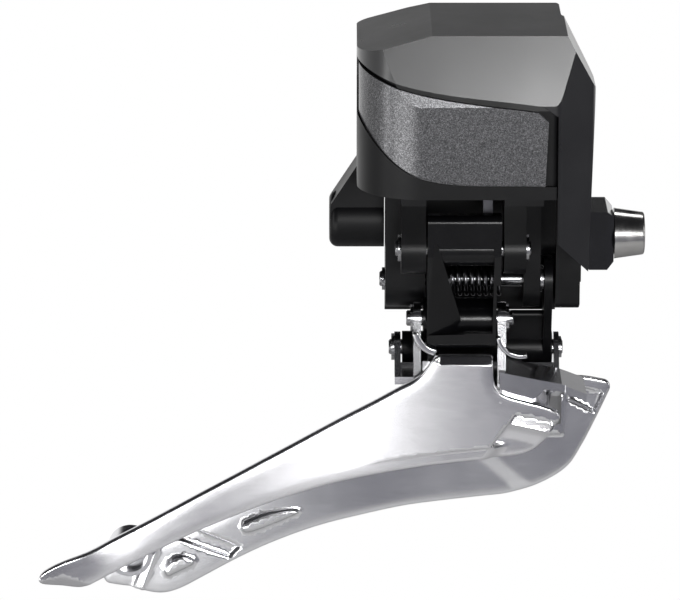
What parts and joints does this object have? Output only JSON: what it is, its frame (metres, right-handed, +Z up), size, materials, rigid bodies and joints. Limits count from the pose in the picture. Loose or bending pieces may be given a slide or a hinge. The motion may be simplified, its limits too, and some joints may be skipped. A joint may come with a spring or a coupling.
{
  "type": "front derailleur",
  "caption": "Motor-driven bicycle front derailleur: faceted black motor unit on a hanger bracket, parallel links and a long polished chain guide with bridged plates.",
  "frame": {"origin": "middle of the concave face that seats on the frame hanger tab, on the fixing bolt axis", "axes": "+X forwards along the fixing bolt, +Y inboard towards the seat tube, +Z up"},
  "size_m": [0.1173, 0.0364, 0.115],
  "materials": {
    "case_black": "satin moulded",
    "cover_black": "satin black lacquer",
    "panel_grey": "fine metallic sparkle",
    "black_steel": "black oxide",
    "bracket_black": "satin black",
    "pin_steel": "ground",
    "motor_steel": "plated",
    "frame_aluminium": "as cut",
    "board_green": "solder mask",
    "insulator": "moulded",
    "contact_brass": "plated",
    "washer_black": "gloss black",
    "bolt_steel": "turned bright",
    "link_black": "satin black anodised",
    "bush_bronze": "oiled",
    "inner_link_black": "satin black",
    "spring_steel": "bright wire",
    "plate_silver": "satin polished",
    "inner_plate_silver": "satin polished",
    "bridge_steel": "bright plated",
    "stop_black": "moulded",
    "gear_brass": "cut",
    "gear_steel": "sintered",
    "rod_steel": "stamped"
  },
  "bodies": {
    "base": {"housing": "case_black", "top_cover": "cover_black", "side_panel": "panel_grey", "cover_screws": "black_steel", "mount_body": "bracket_black", "outer_top_pin": "pin_steel", "inner_top_pin": "pin_steel", "top_pin_clips": "pin_steel", "motor_can": "motor_steel", "gear_frame": "frame_aluminium", "circuit_board": "board_green", "socket_insert": "insulator", "socket_contacts": "contact_brass", "return_spring": "spring_steel"},
    "washer": {"radius_washer": "washer_black"},
    "bolt": {"fixing_bolt": "bolt_steel"},
    "support": {"support_bolt": "black_steel"},
    "outer_arm": {"outer_link": "link_black", "arm_pin": "pin_steel", "outer_top_bushes": "bush_bronze", "outer_low_bushes": "bush_bronze"},
    "inner_arm": {"inner_link": "inner_link_black", "inner_low_bushes": "bush_bronze"},
    "guide": {"outer_plate": "plate_silver", "inner_plate": "inner_plate_silver", "guide_bridge": "bridge_steel", "outer_low_pin": "pin_steel", "inner_low_pin": "pin_steel", "low_pin_clips": "pin_steel", "end_stop": "stop_black", "stop_rivets": "stop_black", "nose_screw": "pin_steel", "nose_spacer": "bridge_steel", "nose_nut": "pin_steel", "tail_spacer": "bridge_steel", "tail_screw": "pin_steel"},
    "motor_shaft": {"motor_pinion": "gear_brass"},
    "idler": {"idler_gear": "gear_brass"},
    "output": {"output_gear": "gear_steel"},
    "rod": {"drive_rod": "rod_steel"}
  },
  "joints": [
    {"name": "outer_link_swing", "type": "hinge", "parent": "base", "child": "outer_arm", "pos_m": [-0.0216, -0.017, 0.0016], "axis": [-1, 0, 0], "range_deg": [0, 36]},
    {"name": "inner_link_swing", "type": "hinge", "parent": "base", "child": "inner_arm", "pos_m": [-0.015, -0.004, -0.008], "axis": [-1, 0, 0], "range_deg": [0, 36]},
    {"name": "guide_pivot", "type": "hinge", "parent": "outer_arm", "child": "guide", "pos_m": [-0.022, -0.01206, -0.01362], "axis": [-1, 0, 0], "range_deg": [-36, 0]},
    {"name": "drive_rod_pivot", "type": "hinge", "parent": "outer_arm", "child": "rod", "pos_m": [-0.0169, -0.011, 0.0016], "axis": [-1, 0, 0], "range_deg": [-36, 0]},
    {"name": "output_gear_turn", "type": "hinge", "parent": "base", "child": "output", "pos_m": [-0.0118, -0.0095, 0.0245], "axis": [-1, 0, 0], "range_deg": [0, 36]},
    {"name": "idler_gear_turn", "type": "hinge", "parent": "base", "child": "idler", "pos_m": [-0.0096, -0.0055, 0.0352], "axis": [-1, 0, 0], "range_deg": [-78.01, 0]},
    {"name": "motor_shaft_turn", "type": "hinge", "parent": "base", "child": "motor_shaft", "pos_m": [-0.0096, -0.0146, 0.0324], "axis": [-1, 0, 0], "range_deg": [0, 169.01]},
    {"name": "washer_slide", "type": "slide", "parent": "base", "child": "washer", "axis": [1, 0, 0], "range_m": [0, 0.005]},
    {"name": "fixing_bolt_turn", "type": "hinge", "parent": "washer", "child": "bolt", "pos_m": [0.0107, 0, 0], "axis": [1, 0, 0], "continuous": true},
    {"name": "support_bolt_slide", "type": "slide", "parent": "base", "child": "support", "axis": [0, 1, 0], "range_m": [0, 0.003]}
  ],
  "couplings": [
    {"joint": "inner_link_swing", "follows": "outer_link_swing", "ratio": 1},
    {"joint": "guide_pivot", "follows": "outer_link_swing", "ratio": -1},
    {"joint": "drive_rod_pivot", "follows": "outer_link_swing", "ratio": -1},
    {"joint": "output_gear_turn", "follows": "outer_link_swing", "ratio": 1},
    {"joint": "idler_gear_turn", "follows": "outer_link_swing", "ratio": -2.1667},
    {"joint": "motor_shaft_turn", "follows": "outer_link_swing", "ratio": 4.6944}
  ]
}
